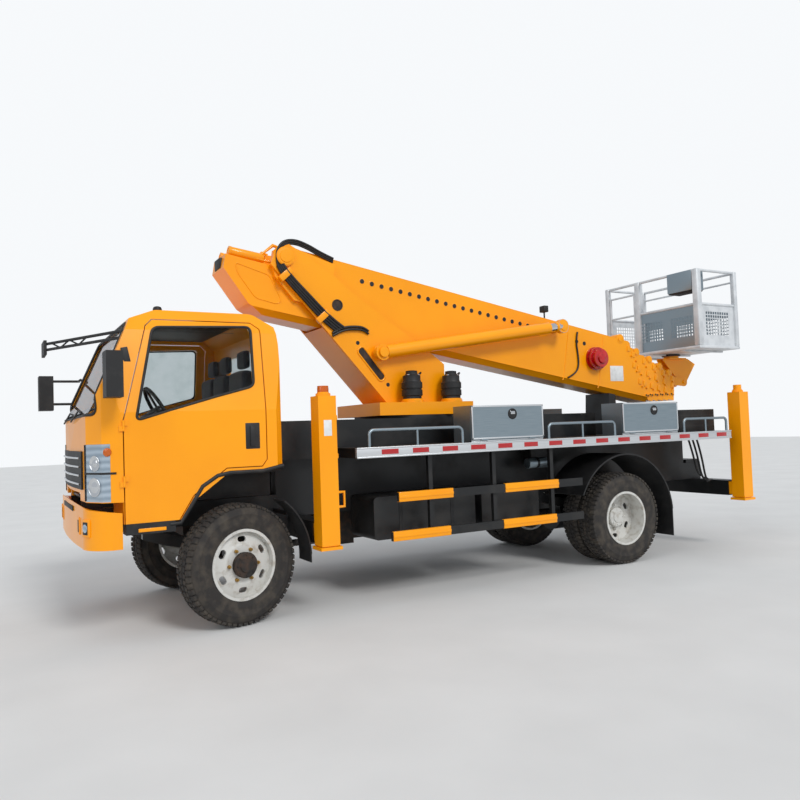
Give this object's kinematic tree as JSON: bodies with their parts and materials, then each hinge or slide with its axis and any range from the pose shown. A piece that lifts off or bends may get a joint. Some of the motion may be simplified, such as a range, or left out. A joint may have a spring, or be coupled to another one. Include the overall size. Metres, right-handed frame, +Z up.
{
  "type": "truck-mounted aerial work platform",
  "caption": "Cab-over truck with a slewing turret, a telescopic boom that ends in a work basket, and outriggers on sliding beams.",
  "frame": {"origin": "on the ground, midway along and across the overall size", "axes": "+X to the vehicle's left, +Y to its rear, +Z up; the cab faces -Y"},
  "size_m": [2.5, 7.847, 3.3299],
  "materials": {
    "yellow_paint": "gloss",
    "black_paint": "satin",
    "grey_metal": "matte",
    "deck_steel": "satin",
    "bright_steel": "satin",
    "black_plastic": "matte",
    "window_glass": "clear",
    "lamp_plastic": "gloss",
    "grey_plastic": "matte",
    "seat_cloth": "woven",
    "red_paint": "gloss",
    "rod_chrome": "polished",
    "basket_metal": "satin",
    "tyre_rubber": "matte",
    "rim_paint": "satin"
  },
  "bodies": {
    "chassis": {"chassis_frame": "black_paint", "front_axle": "black_paint", "rear_axle": "black_paint", "drivetrain": "grey_metal", "side_tanks": "black_paint", "bumper": "yellow_paint", "subframe": "black_paint", "deck": "deck_steel", "boom_rests": "black_paint", "handrails": "bright_steel", "toolboxes": "bright_steel", "side_guards": "black_paint", "mudguards": "black_plastic"},
    "cab": {"cab_shell": "yellow_paint", "cab_glass": "window_glass", "headlamps": "lamp_plastic", "dashboard": "grey_plastic", "seats": "seat_cloth", "cab_trim": "black_plastic"},
    "turret_body": {"turret": "yellow_paint", "slew_motors": "black_plastic"},
    "boom_1": {"boom_section_1": "yellow_paint", "winch": "red_paint"},
    "barrels": {"lift_barrels": "yellow_paint"},
    "rods": {"lift_rods": "rod_chrome"},
    "bracket": {"basket_bracket": "basket_metal"},
    "basket_body": {"basket": "basket_metal"},
    "gate": {"basket_gate": "basket_metal"},
    "steering_wheel_body": {"steering_wheel": "black_plastic"},
    "boom_2": {"boom_section_2": "yellow_paint"},
    "boom_3": {"boom_section_3": "yellow_paint"},
    "boom_4": {"boom_section_4": "yellow_paint"},
    "boom_5": {"boom_section_5": "yellow_paint"},
    "boom_6": {"boom_section_6": "yellow_paint"},
    "door_left": {"cab_door_left": "yellow_paint", "cab_door_glass_left": "window_glass"},
    "knuckle_left": {"front_left_knuckle": "black_paint"},
    "front_wheel_left": {"front_left_tyre": "tyre_rubber", "front_left_rim": "rim_paint"},
    "rear_wheel_left": {"rear_left_tyres": "tyre_rubber", "rear_left_rims": "rim_paint"},
    "toolbox_lid_front_left": {"toolbox_door_front_left": "bright_steel"},
    "beam_front_left": {"outrigger_beam_front_left": "yellow_paint"},
    "leg_front_left": {"outrigger_leg_front_left": "yellow_paint"},
    "toolbox_lid_rear_left": {"toolbox_door_rear_left": "bright_steel"},
    "beam_rear_left": {"outrigger_beam_rear_left": "yellow_paint"},
    "leg_rear_left": {"outrigger_leg_rear_left": "yellow_paint"},
    "door_right": {"cab_door_right": "yellow_paint", "cab_door_glass_right": "window_glass"},
    "knuckle_right": {"front_right_knuckle": "black_paint"},
    "front_wheel_right": {"front_right_tyre": "tyre_rubber", "front_right_rim": "rim_paint"},
    "rear_wheel_right": {"rear_right_tyres": "tyre_rubber", "rear_right_rims": "rim_paint"},
    "toolbox_lid_front_right": {"toolbox_door_front_right": "bright_steel"},
    "beam_front_right": {"outrigger_beam_front_right": "yellow_paint"},
    "leg_front_right": {"outrigger_leg_front_right": "yellow_paint"},
    "toolbox_lid_rear_right": {"toolbox_door_rear_right": "bright_steel"},
    "beam_rear_right": {"outrigger_beam_rear_right": "yellow_paint"},
    "leg_rear_right": {"outrigger_leg_rear_right": "yellow_paint"}
  },
  "joints": [
    {"name": "cab_tilt", "type": "hinge", "parent": "chassis", "child": "cab", "pos_m": [0, -3.6815, 1.045], "axis": [1, 0, 0], "range_deg": [0, 45]},
    {"name": "door_left_open", "type": "hinge", "parent": "cab", "child": "door_left", "pos_m": [1.012, -3.4775, 1.3], "axis": [0, 0, -1], "range_deg": [0, 65]},
    {"name": "knuckle_left_steer", "type": "hinge", "parent": "chassis", "child": "knuckle_left", "pos_m": [0.8, -2.6365, 0.48], "axis": [0, 0, 1], "range_deg": [-45, 19]},
    {"name": "front_wheel_left_spin", "type": "hinge", "parent": "knuckle_left", "child": "front_wheel_left", "pos_m": [0.8, -2.6365, 0.48], "axis": [0.9744, 0.225, 0], "continuous": true},
    {"name": "rear_wheel_left_spin", "type": "hinge", "parent": "chassis", "child": "rear_wheel_left", "pos_m": [0, 1.5385, 0.48], "axis": [1, 0, 0], "continuous": true},
    {"name": "toolbox_lid_front_left_open", "type": "hinge", "parent": "chassis", "child": "toolbox_lid_front_left", "pos_m": [1.0923, -0.0185, 1.3783], "axis": [0, 1, 0], "range_deg": [0, 90]},
    {"name": "beam_front_left_extend", "type": "slide", "parent": "chassis", "child": "beam_front_left", "axis": [1, 0, 0], "range_m": [0, 0.7]},
    {"name": "leg_front_left_lower", "type": "slide", "parent": "beam_front_left", "child": "leg_front_left", "axis": [0, 0, -1], "range_m": [0, 0.53]},
    {"name": "toolbox_lid_rear_left_open", "type": "hinge", "parent": "chassis", "child": "toolbox_lid_rear_left", "pos_m": [1.0923, 1.899, 1.3783], "axis": [0, 1, 0], "range_deg": [0, 90]},
    {"name": "beam_rear_left_extend", "type": "slide", "parent": "chassis", "child": "beam_rear_left", "axis": [1, 0, 0], "range_m": [0, 0.7]},
    {"name": "leg_rear_left_lower", "type": "slide", "parent": "beam_rear_left", "child": "leg_rear_left", "axis": [0, 0, -1], "range_m": [0, 0.53]},
    {"name": "door_right_open", "type": "hinge", "parent": "cab", "child": "door_right", "pos_m": [-1.012, -3.4775, 1.3], "axis": [0, 0, 1], "range_deg": [0, 65]},
    {"name": "knuckle_right_steer", "type": "hinge", "parent": "chassis", "child": "knuckle_right", "pos_m": [-0.8, -2.6365, 0.48], "axis": [0, 0, 1], "range_deg": [-45, 19]},
    {"name": "front_wheel_right_spin", "type": "hinge", "parent": "knuckle_right", "child": "front_wheel_right", "pos_m": [-0.8, -2.6365, 0.48], "axis": [-0.9744, -0.225, 0], "continuous": true},
    {"name": "rear_wheel_right_spin", "type": "hinge", "parent": "chassis", "child": "rear_wheel_right", "pos_m": [0, 1.5385, 0.48], "axis": [-1, 0, 0], "continuous": true},
    {"name": "toolbox_lid_front_right_open", "type": "hinge", "parent": "chassis", "child": "toolbox_lid_front_right", "pos_m": [-1.0923, -0.0185, 1.3783], "axis": [0, -1, 0], "range_deg": [0, 90]},
    {"name": "beam_front_right_extend", "type": "slide", "parent": "chassis", "child": "beam_front_right", "axis": [-1, 0, 0], "range_m": [0, 0.7]},
    {"name": "leg_front_right_lower", "type": "slide", "parent": "beam_front_right", "child": "leg_front_right", "axis": [0, 0, -1], "range_m": [0, 0.53]},
    {"name": "toolbox_lid_rear_right_open", "type": "hinge", "parent": "chassis", "child": "toolbox_lid_rear_right", "pos_m": [-1.0923, 1.899, 1.3783], "axis": [0, -1, 0], "range_deg": [0, 90]},
    {"name": "beam_rear_right_extend", "type": "slide", "parent": "chassis", "child": "beam_rear_right", "axis": [-1, 0, 0], "range_m": [0, 0.7]},
    {"name": "leg_rear_right_lower", "type": "slide", "parent": "beam_rear_right", "child": "leg_rear_right", "axis": [0, 0, -1], "range_m": [0, 0.53]},
    {"name": "steering_wheel_turn", "type": "hinge", "parent": "cab", "child": "steering_wheel_body", "pos_m": [0.43, -3.1065, 1.72], "axis": [0, 0.8768, 0.4808], "range_deg": [-720, 304]},
    {"name": "slew", "type": "hinge", "parent": "chassis", "child": "turret_body", "pos_m": [0, -0.5365, 1.64], "axis": [0, 0, 1], "range_deg": [-120, 120]},
    {"name": "boom_lift", "type": "hinge", "parent": "turret_body", "child": "boom_1", "pos_m": [0, -1.9025, 3.15], "axis": [1, 0, 0], "range_deg": [0, 80]},
    {"name": "barrel_pivot", "type": "hinge", "parent": "turret_body", "child": "barrels", "pos_m": [0, -0.9565, 2.262], "axis": [1, 0, 0], "range_deg": [0, 79.4]},
    {"name": "rod_extend", "type": "slide", "parent": "barrels", "child": "rods", "axis": [0, 0.9892, 0.1463], "range_m": [0, 1.67]},
    {"name": "boom_2_extend", "type": "slide", "parent": "boom_1", "child": "boom_2", "axis": [0, 0.9848, -0.1736], "range_m": [0, 3.6]},
    {"name": "boom_3_extend", "type": "slide", "parent": "boom_2", "child": "boom_3", "axis": [0, 0.9848, -0.1736], "range_m": [0, 3.6]},
    {"name": "boom_4_extend", "type": "slide", "parent": "boom_3", "child": "boom_4", "axis": [0, 0.9848, -0.1736], "range_m": [0, 3.6]},
    {"name": "boom_5_extend", "type": "slide", "parent": "boom_4", "child": "boom_5", "axis": [0, 0.9848, -0.1736], "range_m": [0, 3.6]},
    {"name": "boom_6_extend", "type": "slide", "parent": "boom_5", "child": "boom_6", "axis": [0, 0.9848, -0.1736], "range_m": [0, 3.6]},
    {"name": "basket_level", "type": "hinge", "parent": "boom_6", "child": "bracket", "pos_m": [0, 3.6636, 1.98983], "axis": [1, 0, 0], "range_deg": [-80, 0]},
    {"name": "basket_turn", "type": "hinge", "parent": "bracket", "child": "basket_body", "pos_m": [0, 3.5355, 2.33], "axis": [0, 0, 1], "range_deg": [-90, 90]},
    {"name": "gate_open", "type": "hinge", "parent": "basket_body", "child": "gate", "pos_m": [-0.6847, 3.1935, 2.8], "axis": [0, 0, 1], "range_deg": [0, 85]}
  ],
  "couplings": [
    {"joint": "knuckle_right_steer", "follows": "knuckle_left_steer", "ratio": 1},
    {"joint": "steering_wheel_turn", "follows": "knuckle_left_steer", "ratio": 16},
    {"joint": "barrel_pivot", "follows": "boom_lift", "ratio": 0.9919},
    {"joint": "rod_extend", "follows": "boom_lift", "m_per_rad": 1.19},
    {"joint": "boom_3_extend", "follows": "boom_2_extend", "ratio": 1},
    {"joint": "boom_4_extend", "follows": "boom_2_extend", "ratio": 1},
    {"joint": "boom_5_extend", "follows": "boom_2_extend", "ratio": 1},
    {"joint": "boom_6_extend", "follows": "boom_2_extend", "ratio": 1},
    {"joint": "basket_level", "follows": "boom_lift", "ratio": -1}
  ]
}
